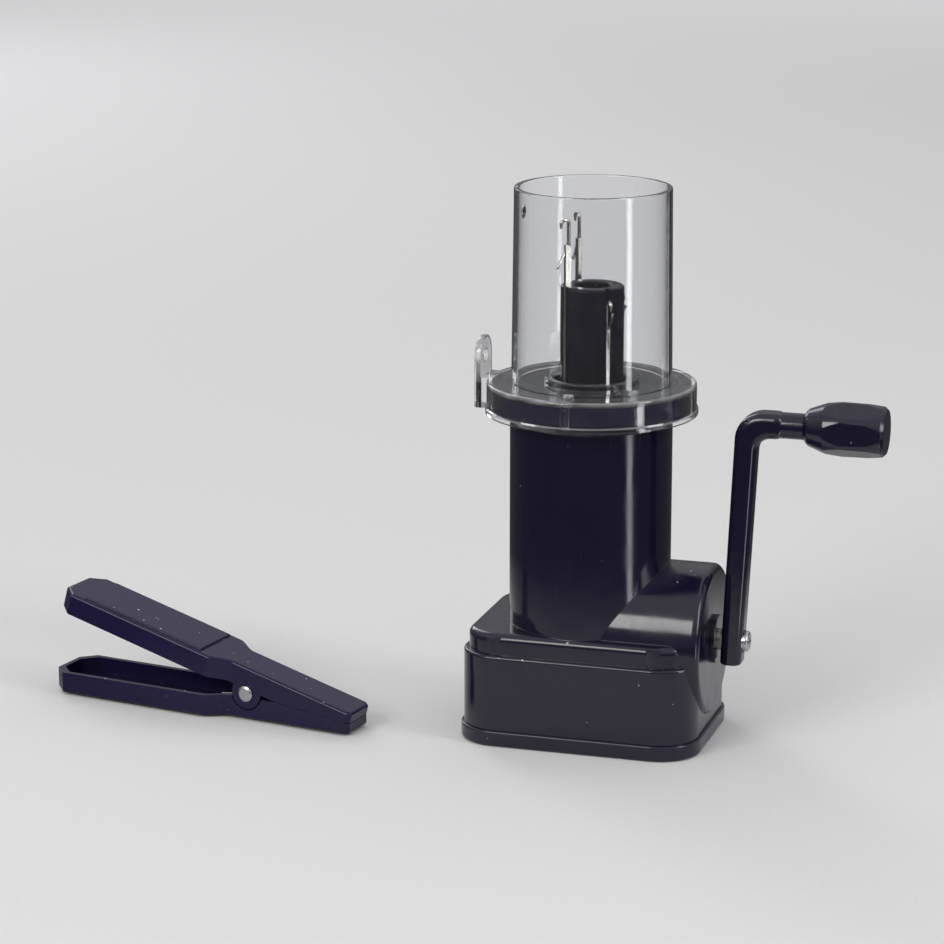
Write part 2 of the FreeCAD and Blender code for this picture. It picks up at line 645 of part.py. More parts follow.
# ---------------------------------------------------------------- needles and latches

NECK_RADIUS = 7.6                   # from the knitter's axis to the needle's round neck
BLADE_HALF = 0.55                   # half thickness of shank and butt
LATCH_HALF = 0.2
PIVOT_RADIUS = 8.3
PIVOT_BELOW_HOOK = 7.0
HOOK_WIRE = 0.5
HOOK_BEND = 1.15
HOOK_TIP = 1.3
RIVET_RADIUS = 0.25
LATCH_LENGTH = 5.7
LATCH_UP = 27                       # degrees from upright where the latch meets the hook's tip
LATCH_DOWN = 152
hook_bend_height = cylinder_top - 4.6


def needle(index):
    """Latch needle: flat shank with a butt, a slot for the latch, and a wire hook that opens outwards."""
    made = body(f"needle_{index + 1}")
    pivot = hook_bend_height - PIVOT_BELOW_HOOK
    thick = (-BLADE_HALF, BLADE_HALF)
    slot = (-LATCH_HALF - 0.05, LATCH_HALF + 0.05)
    block(made, "AdditiveBox", f"shank_{index}", (6.95, 8.7), thick, (butt_low - 8.5, pivot + 1.2))
    block(made, "AdditiveBox", f"butt_{index}", (8.6, 13), thick, (butt_low, butt_low + butt_height))
    solid(made, "AdditiveCone", f"shoulder_{index}", NECK_RADIUS, 0, pivot + 1.1,
          Radius1=0.6, Radius2=HOOK_WIRE, Height=1.2)
    solid(made, "AdditiveCylinder", f"neck_{index}", NECK_RADIUS, 0, pivot + 1,
          Radius=HOOK_WIRE, Height=PIVOT_BELOW_HOOK - 1)
    solid(made, "AdditiveTorus", f"hook_{index}", NECK_RADIUS + HOOK_BEND, 0, hook_bend_height,
          Rotation(Vector(1, 0, 0), 90), Radius1=HOOK_BEND, Radius2=HOOK_WIRE, Angle3=180)
    solid(made, "AdditiveCone", f"hook_tip_{index}", NECK_RADIUS + 2 * HOOK_BEND, 0,
          hook_bend_height - HOOK_TIP, Radius1=0.22, Radius2=HOOK_WIRE, Height=HOOK_TIP)
    block(made, "SubtractiveBox", f"latch_slot_{index}", (NECK_RADIUS, 9.5), slot, (pivot - 5, pivot + 1.3))
    solid(made, "AdditiveCylinder", f"rivet_{index}", PIVOT_RADIUS, -0.5, pivot, TURN_TO_Y,
          Radius=RIVET_RADIUS, Height=1)
    lift = needle_lift if RAISED[index] else 0
    return put(made, z=lift, turn=Rotation(Vector(0, 0, 1), NEEDLE_TURNS[index]))


def latch(index):
    """Latch of a needle, a thin tongue with a spoon at its tip, swinging on the rivet."""
    made = body(f"latch_{index + 1}")
    solid(made, "AdditiveCylinder", f"latch_eye_{index}", 0, -LATCH_HALF, 0, TURN_TO_Y,
          Radius=0.48, Height=2 * LATCH_HALF)
    block(made, "AdditiveBox", f"tongue_{index}", (-0.3, 0.3), (-LATCH_HALF, LATCH_HALF),
          (0, LATCH_LENGTH - 0.9))
    solid(made, "AdditiveEllipsoid", f"spoon_{index}", 0, 0, LATCH_LENGTH - 0.6,
          Radius1=0.95, Radius2=0.42, Radius3=0.42, Angle1=-90, Angle2=90, Angle3=360)
    solid(made, "SubtractiveCylinder", f"rivet_hole_{index}", 0, -1, 0, TURN_TO_Y,
          Radius=RIVET_RADIUS + 0.04, Height=2)
    swing = LATCH_DOWN if RAISED[index] else LATCH_UP
    height = hook_bend_height - PIVOT_BELOW_HOOK + (needle_lift if RAISED[index] else 0)
    azimuth = Rotation(Vector(0, 0, 1), NEEDLE_TURNS[index])
    spot = azimuth.multVec(Vector(PIVOT_RADIUS, 0, 0))
    return put(made, spot.x, spot.y, height, azimuth * Rotation(Vector(0, 1, 0), swing))


# ---------------------------------------------------------------- crank

def thrust_washer():
    made = body("thrust_washer")
    turned(made, "washer_ring", [(journal_radius + 0.1, 5), (10.3, 5), (10.3, 6), (journal_radius + 0.1, 6)])
    return made


def drive_shaft():
    """Steel shaft: a D for the gear, a groove for its ring, a round journal and a square for the crank."""
    made = body("drive_shaft")
    start, ring_near, ring_far, groove = 11.8, 12.4, 13.1, 2.3
    turned(made, "shaft_turned", [
        (0, start), (shaft_radius - 0.3, start), (shaft_radius, start + 0.3), (shaft_radius, ring_near),
        (groove, ring_near), (groove, ring_far), (shaft_radius, ring_far), (shaft_radius, arm_near),
        (0, arm_near)])
    block(made, "AdditiveBox", "square_end", (-square_half, square_half), (-square_half, square_half),
          (arm_near - PAST, arm_near + square_length))
    block(made, "SubtractiveBox", "gear_flat", (SHAFT_FLAT, 5), (-5, 5), (start - PAST, GEAR_BACK))
    solid(made, "SubtractiveCylinder", "screw_pilot", z=arm_near - 6, Radius=screw_radius, Height=12)
    return put(made, z=shaft_height, turn=TURN_TO_X)


def shaft_bush():
    """Flanged bush pressed into the hump's wall."""
    made = body("shaft_bush")
    solid(made, "AdditiveCylinder", "bush_barrel", bush_start, 0, shaft_height, TURN_TO_X, Radius=bush_radius,
          Height=hump_end - bush_start)
    solid(made, "AdditiveCylinder", "bush_flange", hump_end, 0, shaft_height, TURN_TO_X,
          Radius=bush_flange_radius, Height=bush_flange)
    solid(made, "SubtractiveCylinder", "bush_bore", bush_start - PAST, 0, shaft_height, TURN_TO_X,
          Radius=shaft_radius + running_play, Height=hump_end - bush_start + bush_flange + 2 * PAST)
    return made


def gear_ring():
    """Open spring ring in the shaft's groove, in front of the drive gear."""
    ring = Part.makeCylinder(5, 0.6).cut(Part.makeCylinder(2.35, 0.6))
    ring = ring.cut(Part.makeBox(6, 3.4, 0.6, Vector(0, -1.7, 0)))
    return feature_part("gear_ring", ring, Placement(Vector(12.45, 0, shaft_height.value), TURN_TO_X))


ARM_LEAN = 3                        # degrees that the arm leans away from the housing
CRANK_HEAD = 2.9                    # head radius of the crank's screw


def crank_arm():
    """Arm, rounded elbow, stem and the knob's spindle, moulded in one piece."""
    made = body("crank_arm")
    axis = shaft_height + crank_throw
    drift = crank_throw * math.tan(math.radians(ARM_LEAN))
    near, far = arm_near, arm_near + arm_thickness
    elbow = far + drift
    extruded(made, "arm_bar", "XZ_Plane",
             [(near, shaft_height - arm_foot), (far, shaft_height - arm_foot), (elbow, axis - stem_radius),
              (elbow + stem_start, axis - stem_radius), (elbow + stem_start, axis + stem_radius),
              (near + drift, axis + stem_radius)], arm_half_width * 2)
    for name, radius, corner in (("elbow_outside", elbow_radius, near + drift), ("elbow_inside", 4, elbow),
                                 ("stem_shoulder", 2.6, elbow + stem_start)):
        rounded(made, name, radius, lambda e: e.BoundBox.YLength > arm_half_width.value
                and abs(e.BoundBox.XMin - corner.value) < 0.1 and e.BoundBox.ZMin > axis.value - 5)
    rounded(made, "arm_edges", 2.4, lambda e: e.BoundBox.YLength < 0.01
            and not level(e, shaft_height - arm_foot))
    rounded(made, "foot_edges", 0.8, lambda e: level(e, shaft_height - arm_foot))
    stem_root = near + drift + elbow_radius
    solid(made, "AdditiveCylinder", "stem", stem_root, 0, axis, TURN_TO_X,
          Radius=stem_radius, Height=stem_end - stem_root)
    solid(made, "AdditiveCylinder", "spindle", stem_end - 1, 0, axis, TURN_TO_X,
          Radius=spindle_radius, Height=knob_length - 4)
    solid(made, "AdditiveCone", "spindle_bead", stem_end + knob_length - 7, 0, axis, TURN_TO_X,
          Radius1=spindle_radius + 0.4, Radius2=spindle_radius - 0.5, Height=2.6)
    block(made, "SubtractiveBox", "square_hole", (near - PAST, near + square_length + 0.2),
          (-square_half, square_half), (shaft_height - square_half, shaft_height + square_half))
    solid(made, "SubtractiveCylinder", "screw_hole", near + square_length - 0.3, 0, shaft_height, TURN_TO_X,
          Radius=screw_radius + screw_play, Height=3)
    solid(made, "SubtractiveCylinder", "screw_seat", far, 0, shaft_height, TURN_TO_X,
          Radius=CRANK_HEAD + 0.4, Height=3)
    return made


def crank_screw():
    screw = screw_shape(CRANK_HEAD, 1.9, screw_radius.value, 11)
    end = arm_near.value + arm_thickness.value
    return feature_part("crank_screw", screw,
                        Placement(Vector(end, 0, shaft_height.value), Rotation(Vector(0, 1, 0), -90)))


def crank_knob():
    """Six-sided barrel that turns on the spindle and snaps over its bead."""
    hexagon = bind(doc.addObject("Part::Prism", "knob_hexagon"),
                   Polygon=6, Circumradius=7.8, Height=knob_length)
    form = doc.addObject("PartDesign::Body", "knob_barrel_form")
    turned(form, "knob_barrel", [
        (0, 0), (4.3, 0), (5.1, 0.8), (6.9, 5.5), (7.5, 10), (7.35, knob_length - 5),
        (6.9, knob_length - 0.9), (6.1, knob_length), (0, knob_length)])
    bore = doc.addObject("PartDesign::Body", "knob_bore_form")
    play = spindle_radius + running_play
    groove = knob_length - 7.4
    wide, end = play + 0.7, groove + 4.6
    turned(bore, "knob_bore", [(0, -PAST), (play, -PAST), (play, groove), (wide, groove), (wide, groove + 2),
                               (play, end - 0.4), (play - 0.4, end), (0, end)])
    facets = bind(doc.addObject("Part::Common", "knob_facets"), Base=hexagon, Tool=form)
    made = bind(doc.addObject("Part::Cut", "crank_knob"), Base=facets, Tool=bore)
    made.Label = "crank_knob"
    nodes.append(made)
    return put(made, stem_end + 0.3, 0, shaft_height + crank_throw, TURN_TO_X)


# ---------------------------------------------------------------- clip weight

CLIP_X, CLIP_Y = -93.2, -18.1       # the clip's pin as it lies beside the knitter
CLIP_YAW = -10
CLIP_OPENING = 15                   # angle between the two levers with the jaws shut
HANDLE_STEP = (-7, -12)             # where the lever starts and ends widening behind its pin
PAD_START = -16
PAD_END = 8                         # how far short of the handle's end the pad stops
EAR_PLAY = 0.4
JAW_PLAY = 0.08
OUTER_EARS = (4.5, 6.0)
INNER_EARS = (3.1, 4.2)
SPRING_WIRE = 0.5
SPRING_COIL = 2.6
SPRING_TURNS = 4
SPRING_PITCH = 1.02
LEG_LEAN = 9                        # degrees that each leg of the spring leans towards its lever
LEG_LENGTH = 14


def lever_plan(inset):
    """Outline of a clip lever: narrow jaw, a step outwards behind the pin, handle with bevelled corners."""
    jaw_side, handle_side = jaw_half_width - inset, handle_half_width - inset
    jaw_end, handle_end = lever_jaw - inset, inset - lever_handle
    widens, widened = HANDLE_STEP
    side = [(jaw_end, jaw_side - 1.2), (jaw_end - 1.2, jaw_side), (widens, jaw_side), (widened, handle_side),
            (handle_end + 4, handle_side), (handle_end, handle_side - 4)]
    return side + [(x, -y) for x, y in reversed(side)]


def clip_lever(label, ears, play):
    """Channel-shaped lever, its back on z = 0 and its jaw towards +X, with a pair of ears round the pin."""
    made = body(label)
    for name, inset, kind in (("channel", 0, "Pad"), ("hollow", lever_wall, "Pocket")):
        cut = extruded(made, f"{label}_{name}", "XY_Plane", lever_plan(inset), lever_depth, kind)
        cut.Midplane = False
        if kind == "Pocket":
            cut.Reversed = True
            cut.Profile[0].setExpression("AttachmentOffset.Base.z", lever_wall.text)
        rounded(made, f"{label}_{name}_step", 4,
                lambda e: upright(e) and any(level(e, x, "x") for x in HANDLE_STEP))
        if kind == "Pad":
            rounded(made, label + "_back_edge", 0.9, lambda e: level(e, 0))
    slope = math.tan(math.radians(CLIP_OPENING / 2))
    line = [(x, lever_pivot - JAW_PLAY - x * slope) for x in (ear_radius.value + 0.1, FAR)]
    extruded(made, label + "_jaw_slope", "XZ_Plane", line + [(FAR, FAR), (line[0][0], FAR)], FAR, "Pocket")
    block(made, "AdditiveBox", label + "_pad", (PAD_END - lever_handle, PAD_START),
          (-pad_half_width, pad_half_width), (-pad_height, lever_wall - 0.5))
    rounded(made, label + "_pad_edge", 0.4, lambda e: level(e, -pad_height))
    for side in (-1, 1):
        near, far = sorted((side * ears[0], side * ears[1]))
        if ears is INNER_EARS:
            clear = sorted((side * (OUTER_EARS[0] - 0.15), side * 9))
            solid(made, "SubtractiveCylinder", f"{label}_ear_room_{side + 1}", 0, clear[0], lever_pivot,
                  TURN_TO_Y, Radius=ear_radius + EAR_PLAY, Height=clear[1] - clear[0])
        block(made, "AdditiveBox", f"{label}_web_{side + 1}", (-ear_radius, ear_radius), (near, far),
              (lever_wall - 0.5, lever_pivot))
        solid(made, "AdditiveCylinder", f"{label}_ear_{side + 1}", 0, near, lever_pivot, TURN_TO_Y,
              Radius=ear_radius, Height=far - near)
    solid(made, "SubtractiveCylinder", label + "_pin_hole", 0, -10, lever_pivot, TURN_TO_Y,
          Radius=pin_radius + play, Height=20)
    return made


def clip_place(x, y, z, turn=UPRIGHT):
    """Where a piece of the clip lies, from its place in the clip's own frame, whose origin is the pin."""
    yaw = Rotation(Vector(0, 0, 1), CLIP_YAW)
    at = Vector(CLIP_X, CLIP_Y, (lever_pivot + pad_height).value) + yaw.multVec(Vector(x, y, z))
    return Placement(at, yaw * turn)


def clip():
    """Two levers, the pin through their ears and the torsion spring that shuts the jaws."""
    lower = clip_lever("clip_lower_lever", INNER_EARS, 0)
    lower.Placement = clip_place(0, 0, -lever_pivot.value)
    upper = clip_lever("clip_upper_lever", OUTER_EARS, running_play)
    turn = Rotation(Vector(0, 1, 0), CLIP_OPENING) * Rotation(Vector(1, 0, 0), 180)
    back = turn.multVec(Vector(0, 0, -lever_pivot.value))
    upper.Placement = clip_place(back.x, back.y, back.z, turn)
    pin = body("clip_pin")
    head = [(pin_radius, 6.1), (2.3, 6.1), (2.3, 6.6), (1.7, 7), (0, 7)]
    turned(pin, "pin_turned", [(r, -z) for r, z in reversed(head)] + head)
    pin.Placement = clip_place(0, 0, 0, TURN_TO_Y)


def clip_spring():
    """Torsion spring: coil round the pin, and a straight leg reaching for the back of each lever."""
    first = CLIP_OPENING + LEG_LEAN - 90
    sweep = 360 * SPRING_TURNS + 90 - LEG_LEAN - first
    rise = SPRING_PITCH * sweep / 360
    coil = Part.makeHelix(SPRING_PITCH, rise, SPRING_COIL).Edges[0]
    start, end = coil.valueAt(coil.FirstParameter), coil.valueAt(coil.LastParameter)
    from_start, from_end = -coil.tangentAt(coil.FirstParameter), coil.tangentAt(coil.LastParameter)
    tip = start + from_start * LEG_LENGTH
    path = Part.Wire([Part.makeLine(tip, start), coil, Part.makeLine(end, end + from_end * LEG_LENGTH)])
    wire = path.makePipeShell([Part.Wire(Part.makeCircle(SPRING_WIRE, tip, from_start))], True, True)
    centred = Placement(Vector(0, 0, -rise / 2), Rotation(Vector(0, 0, 1), first))
    return feature_part("clip_spring", wire, clip_place(0, 0, 0, TURN_TO_Y) * centred)


# ---------------------------------------------------------------- the whole object

main_housing()
base_cover()
cover_screws()
clear_guard()
lower_cam_sleeve()
upper_cam_sleeve()
shaft_bush()
thrust_washer()
needle_cylinder()
cylinder_gear()
for place in range(len(NEEDLE_TURNS)):
    needle(place)
    latch(place)
drive_shaft()
drive_gear()
gear_ring()
crank_arm()
crank_screw()
crank_knob()
clip()
clip_spring()

doc.recompute()
failed = [o.Name for o in doc.Objects if "Invalid" in o.State or "Error" in o.State]
failed += [n.Label for n in nodes if n.Shape.isNull() or not n.Shape.isValid()]
if failed:
    raise SystemExit("not built: " + ", ".join(failed))

os.makedirs("parts", exist_ok=True)
for node in nodes:
    node.Shape.exportStep(f"parts/{node.Label}.step")
    box = node.Shape.BoundBox
    print(f"{node.Label:18} {len(node.Shape.Solids)} solid(s), {node.Shape.Volume:9.1f} mm3, "
          f"x {box.XMin:.1f}..{box.XMax:.1f}, y {box.YMin:.1f}..{box.YMax:.1f}, "
          f"z {box.ZMin:.1f}..{box.ZMax:.1f}")
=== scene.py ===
import math

import bpy
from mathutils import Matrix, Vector


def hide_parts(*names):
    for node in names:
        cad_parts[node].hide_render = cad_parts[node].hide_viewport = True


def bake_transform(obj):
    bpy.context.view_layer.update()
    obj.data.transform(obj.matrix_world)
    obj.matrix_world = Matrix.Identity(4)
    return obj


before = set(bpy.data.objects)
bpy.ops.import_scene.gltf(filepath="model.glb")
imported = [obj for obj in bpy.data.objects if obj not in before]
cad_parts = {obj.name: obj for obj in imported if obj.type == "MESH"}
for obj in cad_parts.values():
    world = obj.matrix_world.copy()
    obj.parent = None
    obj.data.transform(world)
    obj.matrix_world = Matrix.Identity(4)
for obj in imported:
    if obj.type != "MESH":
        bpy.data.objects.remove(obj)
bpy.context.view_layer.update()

# ------------------------------------------------------------ table, light and camera
# The knitter stands on a wide table top with nothing behind it. Its pale lacquer was rolled
# on and dried matt with a fine stipple, so light spreads evenly over it. Fabric softboxes
# light the knitter, so that its polished plastic mirrors broad soft shapes.

MM = 0.001
TABLE_RADIUS = 6.0                  # m, as is every length without a note
TABLE_SIDES = 96
LACQUER_DARK, LACQUER_LIGHT = "#D2D1CF", "#DAD9D7"
ROLLER_STIPPLE = 1.2                # mm

# The far end of the table lies beyond the softboxes, so a fill that grows outward keeps it as pale.
FILL_NEAR, FILL_FAR = 1.2, 2.4
FILL_LIGHT = 0.2
DAYLIGHT = "#FBFBFF"


def linear(code, share=1):
    """Linear colour of an sRGB hex value, times share to make it darker or lighter."""
    parts = [int(code[i:i + 2], 16) / 255 for i in (1, 3, 5)]
    return [share * (p / 12.92 if p <= 0.04045 else ((p + 0.055) / 1.055) ** 2.4) for p in parts] + [1]


def spacing(size):
    """Texture scale that draws a pattern size mm wide."""
    return 1 / (size * MM)


def add(tree, kind, inputs=None, **settings):
    """Adds one node: settings go on the node, inputs are values or the sockets that feed them. The numbered
    inputs are a Map Range's value (0), source (1, 2) and target (3, 4), a Mix's share (0), numbers (2, 3) or
    colours (6, 7), a Mix Shader's share (0) and shaders (1, 2), and the terms of a sum (0, 1, 2)."""
    node = tree.nodes.new(kind)
    for name, value in settings.items():
        setattr(node, name, value)
    for key, value in (inputs or {}).items():
        if isinstance(value, bpy.types.NodeSocket):
            tree.links.new(value, node.inputs[key])
        else:
            node.inputs[key].default_value = value
    return node


def new_material(name):
    """An empty material, with the object's own coordinates in metres."""
    made = bpy.data.materials.new(name)
    made.use_nodes = True
    tree = made.node_tree
    tree.nodes.clear()
    return made, tree, add(tree, "ShaderNodeTexCoord").outputs["Object"]


turns = [math.tau * side / TABLE_SIDES for side in range(TABLE_SIDES)]
outline = [(TABLE_RADIUS * math.cos(turn), TABLE_RADIUS * math.sin(turn)) for turn in turns]
mesh = bpy.data.meshes.new("table_top")
mesh.from_pydata([(x, y, 0) for x, y in outline], [], [range(TABLE_SIDES)])
table = bpy.data.objects.new("table_top", mesh)
bpy.context.scene.collection.objects.link(table)

paint, tree, where = new_material("matt_white_lacquer")
mesh.materials.append(paint)
stipple = add(tree, "ShaderNodeTexNoise", {"Vector": where, "Scale": spacing(ROLLER_STIPPLE), "Detail": 3})
shade = add(tree, "ShaderNodeMix", {
    0: stipple.outputs["Fac"], 6: linear(LACQUER_DARK), 7: linear(LACQUER_LIGHT)}, data_type="RGBA")
grain = add(tree, "ShaderNodeBump", {
    "Height": stipple.outputs["Fac"], "Strength": 0.08, "Distance": 0.05 * MM})
lacquer = add(tree, "ShaderNodeBsdfDiffuse", {"Color": shade.outputs[2], "Normal": grain.outputs["Normal"]})
reach = add(tree, "ShaderNodeVectorMath", {0: where}, operation="LENGTH")
far = add(tree, "ShaderNodeMapRange", {
    0: reach.outputs["Value"], 1: FILL_NEAR, 2: FILL_FAR, 4: FILL_LIGHT}, interpolation_type="SMOOTHSTEP")
fill = add(tree, "ShaderNodeEmission", {"Color": linear(DAYLIGHT), "Strength": far.outputs[0]})
surface = add(tree, "ShaderNodeAddShader", {0: lacquer.outputs[0], 1: fill.outputs[0]})
add(tree, "ShaderNodeOutputMaterial", {"Surface": surface.outputs[0]})

# Two cards lie flat on the table for the glossy parts to mirror and for nothing else to see: a ring of
# black velvet that keeps upright walls dark, and a bright strip that draws one line of light up the right.
VELVET_BLACK = "#08080A"
VELVET_INNER, VELVET_OUTER = 0.095, 0.20
VELVET_COVER = 0.90
VELVET_HEIGHT = 1 * MM
STRIP_NEAR, STRIP_FAR = 0.13, 1.30
STRIP_FLARE = 0.13
STRIP_AZIMUTH = math.radians(69)
STRIP_LIGHT = 5.0
STRIP_TINT = "#FAFBFF"
STRIP_HEIGHT = 2 * MM


def mirrored_card(name, corners):
    """A flat card with a new material, for rays that have already been mirrored once. The third value says
    whether a ray has been, so light that only shines through the clear plastic passes the card by."""
    card = bpy.data.meshes.new(name)
    card.from_pydata(corners, [], [range(len(corners))])
    laid = bpy.data.objects.new(name, card)
    bpy.context.scene.collection.objects.link(laid)
    for sight in ("camera", "diffuse", "volume_scatter", "shadow"):
        setattr(laid, "visible_" + sight, False)
    made, tree, where = new_material(name)
    card.materials.append(made)
    bounces = add(tree, "ShaderNodeLightPath").outputs["Glossy Depth"]
    mirrored = add(tree, "ShaderNodeMath", {0: bounces, 1: 0.5}, operation="GREATER_THAN")
    return tree, where, mirrored.outputs[0]


tree, where, mirrored = mirrored_card("black_velvet", [(x, y, VELVET_HEIGHT) for x, y in outline])
reach = add(tree, "ShaderNodeVectorMath", {0: where}, operation="LENGTH")
ring = add(tree, "ShaderNodeMapRange", {
    0: reach.outputs["Value"], 1: VELVET_INNER, 2: VELVET_OUTER, 4: VELVET_COVER},
    interpolation_type="SMOOTHSTEP")
cover = add(tree, "ShaderNodeMath", {0: ring.outputs[0], 1: mirrored}, operation="MULTIPLY")
nothing = add(tree, "ShaderNodeBsdfTransparent")
velvet = add(tree, "ShaderNodeBsdfDiffuse", {"Color": linear(VELVET_BLACK)})
pile = add(tree, "ShaderNodeMixShader", {0: cover.outputs[0], 1: nothing.outputs[0], 2: velvet.outputs[0]})
add(tree, "ShaderNodeOutputMaterial", {"Surface": pile.outputs[0]})

out = Vector((math.sin(STRIP_AZIMUTH), -math.cos(STRIP_AZIMUTH), 0))
aside = Vector((-out.y, out.x, 0)) * STRIP_FLARE / 2
lift = Vector((0, 0, STRIP_HEIGHT))
tree, where, mirrored = mirrored_card("light_strip", [
    (out - aside) * STRIP_NEAR + lift, (out - aside) * STRIP_FAR + lift,
    (out + aside) * STRIP_FAR + lift, (out + aside) * STRIP_NEAR + lift])
nothing = add(tree, "ShaderNodeBsdfTransparent")
glow = add(tree, "ShaderNodeEmission", {"Color": linear(STRIP_TINT), "Strength": STRIP_LIGHT})
strip = add(tree, "ShaderNodeMixShader", {0: mirrored, 1: nothing.outputs[0], 2: glow.outputs[0]})
add(tree, "ShaderNodeOutputMaterial", {"Surface": strip.outputs[0]})

# name, place, point it faces, width, height, power in watts, tint
SOFTBOXES = [
    ("front_softbox", (-0.55, -1.15, 0.75), (0, 0, 0.07), 0.70, 0.50, 8.5, "#FFFDFA"),
    ("right_softbox", (1.10, -0.25, 0.60), (0, 0, 0.08), 0.30, 0.85, 5, "#FAFCFF"),
    ("rear_softbox", (-1.00, 1.10, 0.95), (0, 0, 0.09), 0.50, 1.30, 6, "#F6F9FF"),
]
for name, place, target, width, height, power, tint in SOFTBOXES:
    light = bpy.data.lights.new(name, "AREA")
    light.shape = "RECTANGLE"
    light.size = width
    light.size_y = height
    light.energy = power
    light.color = linear(tint)[:3]
    lamp = bpy.data.objects.new(name, light)
    lamp.location = place
    lamp.rotation_euler = (Vector(place) - Vector(target)).to_track_quat("Z", "Y").to_euler()
    bpy.context.scene.collection.objects.link(lamp)

# The room's walls are dim and its ceiling bright. Heights are shares of the way from level to straight up.
WALL_LIGHT, WALL_TOP = 0.21, 0.05
CEILING_LIGHT, CEILING_EDGE = 0.80, 0.75

room = bpy.data.worlds.new("studio_room")
room.use_nodes = True
tree = room.node_tree
tree.nodes.clear()
height = add(tree, "ShaderNodeSeparateXYZ", {0: add(tree, "ShaderNodeTexCoord").outputs["Generated"]})
ceiling = add(tree, "ShaderNodeMapRange", {
    0: height.outputs["Z"], 1: WALL_TOP, 2: CEILING_EDGE, 3: WALL_LIGHT, 4: CEILING_LIGHT},
    interpolation_type="SMOOTHSTEP")
glow = add(tree, "ShaderNodeBackground", {"Color": linear(DAYLIGHT), "Strength": ceiling.outputs[0]})
add(tree, "ShaderNodeOutputWorld", {"Surface": glow.outputs[0]})
bpy.context.scene.world = room
bpy.context.scene.view_settings.view_transform = "Standard"

VIEW_AZIMUTH = math.radians(17)
VIEW_ELEVATION = math.radians(14)
VIEW_DISTANCE = 0.92
AIM = Vector((-0.0345, 0, 0.0715))
FOCAL_LENGTH, SENSOR_WIDTH = 125, 36        # mm

toward = Vector((math.sin(VIEW_AZIMUTH) * math.cos(VIEW_ELEVATION),
                 -math.cos(VIEW_AZIMUTH) * math.cos(VIEW_ELEVATION), math.sin(VIEW_ELEVATION)))
lens = bpy.data.cameras.new("studio_camera")
lens.lens = FOCAL_LENGTH
lens.sensor_width = SENSOR_WIDTH
camera = bpy.data.objects.new("studio_camera", lens)
camera.location = AIM + toward * VIEW_DISTANCE
camera.rotation_euler = toward.to_track_quat("Z", "Y").to_euler()
bpy.context.scene.collection.objects.link(camera)
bpy.context.scene.camera = camera

# ------------------------------------------------------------ main housing
# Barrel, base block, gear hump and rim are one injection moulding in glossy indigo ABS.
# The steel mould was polished, so the plastic is shiny, with faint sink waves, handling
# scratches and a little dust that clings to it.

ABS_INDIGO = "#110E22"
ABS_WORN_AND_LIT = "#2C2648"
ABS_IOR = 1.52
FLOW_PATCH = 24                     # mm across a cloud in the colour, from uneven mixing
FLOW_CONTRAST = 1.35
FINGERMARK = 11                     # mm
ROUGH_CLEAN, ROUGH_HANDLED = 0.11, 0.21
SINK_DEPTH = 0.10                   # mm
PEEL_SPACING = 0.9                  # mm between dimples, coarser than real so that they show

DUST = "#C9C6BF"
DUST_SPACING, DUST_SIZE = 3.1, 0.30     # mm
DUST_PATCH = 9                      # mm across an area where dust has gathered
DUST_ROUGH = 0.9

# turn in radians, width and length of a scratch in mm, and the noise levels at which it begins and is whole
SCRATCHES = [((0.2, 1.0, 0.6), 0.3, 20), ((-0.3, -0.8, -0.9), 0.34, 14)]
SCRATCH_FROM, SCRATCH_WHOLE = 0.72, 0.80
SCRATCH_WEAR, SCRATCH_ROUGH = 0.2, 0.14

# The rim under the guard's skirt is mixed towards a lighter indigo: painted light, in place of the light that
# shines through the clear skirt onto it.
RIM_WALL = 25.5                     # mm from the axis
RIM_FOOT = 90                       # mm above the table
RIM_PAINTED_LIGHT = 0.6


def dust_and_scratches(tree, where, dust_spacing, dust_size):
    """Masks from 0 to 1 of clinging dust, which gathers on upward faces, and of handling scratches."""
    specks = add(tree, "ShaderNodeTexVoronoi", {
        "Vector": where, "Scale": spacing(dust_spacing), "Randomness": 1})
    patch = add(tree, "ShaderNodeTexNoise", {"Vector": where, "Scale": spacing(DUST_PATCH), "Detail": 2})
    facing = add(tree, "ShaderNodeSeparateXYZ", {0: add(tree, "ShaderNodeNewGeometry").outputs["Normal"]})
    upward = add(tree, "ShaderNodeMapRange", {0: facing.outputs["Z"], 1: -0.2, 2: 0.9, 3: 0.75, 4: 1.35})
    gathered = add(tree, "ShaderNodeMath", {
        0: patch.outputs["Fac"], 1: upward.outputs[0]}, operation="MULTIPLY")
    limit = add(tree, "ShaderNodeMapRange", {
        0: gathered.outputs[0], 1: 0.36, 2: 0.78, 3: 0.0, 4: dust_size / dust_spacing})
    chance = add(tree, "ShaderNodeSeparateColor", {0: specks.outputs["Color"]})
    mixed = add(tree, "ShaderNodeMapRange", {0: chance.outputs[0], 3: 0.45, 4: 1.35})
    size = add(tree, "ShaderNodeMath", {0: limit.outputs[0], 1: mixed.outputs[0]}, operation="MULTIPLY")
    speck = add(tree, "ShaderNodeMath", {
        0: specks.outputs["Distance"], 1: size.outputs[0]}, operation="LESS_THAN")
    faint = add(tree, "ShaderNodeMapRange", {0: chance.outputs[1], 3: 0.25, 4: 0.95})
    dust = add(tree, "ShaderNodeMath", {0: speck.outputs[0], 1: faint.outputs[0]}, operation="MULTIPLY")
    scratches = None
    for turn, width, length in SCRATCHES:
        laid = add(tree, "ShaderNodeMapping", {
            "Vector": where, "Rotation": turn, "Scale": (spacing(width), spacing(length), spacing(length))})
        streak = add(tree, "ShaderNodeTexNoise", {"Vector": laid.outputs[0], "Scale": 1, "Detail": 1})
        sharp = add(tree, "ShaderNodeMapRange", {
            0: streak.outputs["Fac"], 1: SCRATCH_FROM, 2: SCRATCH_WHOLE, 3: 0, 4: 1}).outputs[0]
        if scratches is None:
            scratches = sharp
        else:
            scratches = add(tree, "ShaderNodeMath", {0: scratches, 1: sharp}, operation="MAXIMUM").outputs[0]
    return dust.outputs[0], scratches


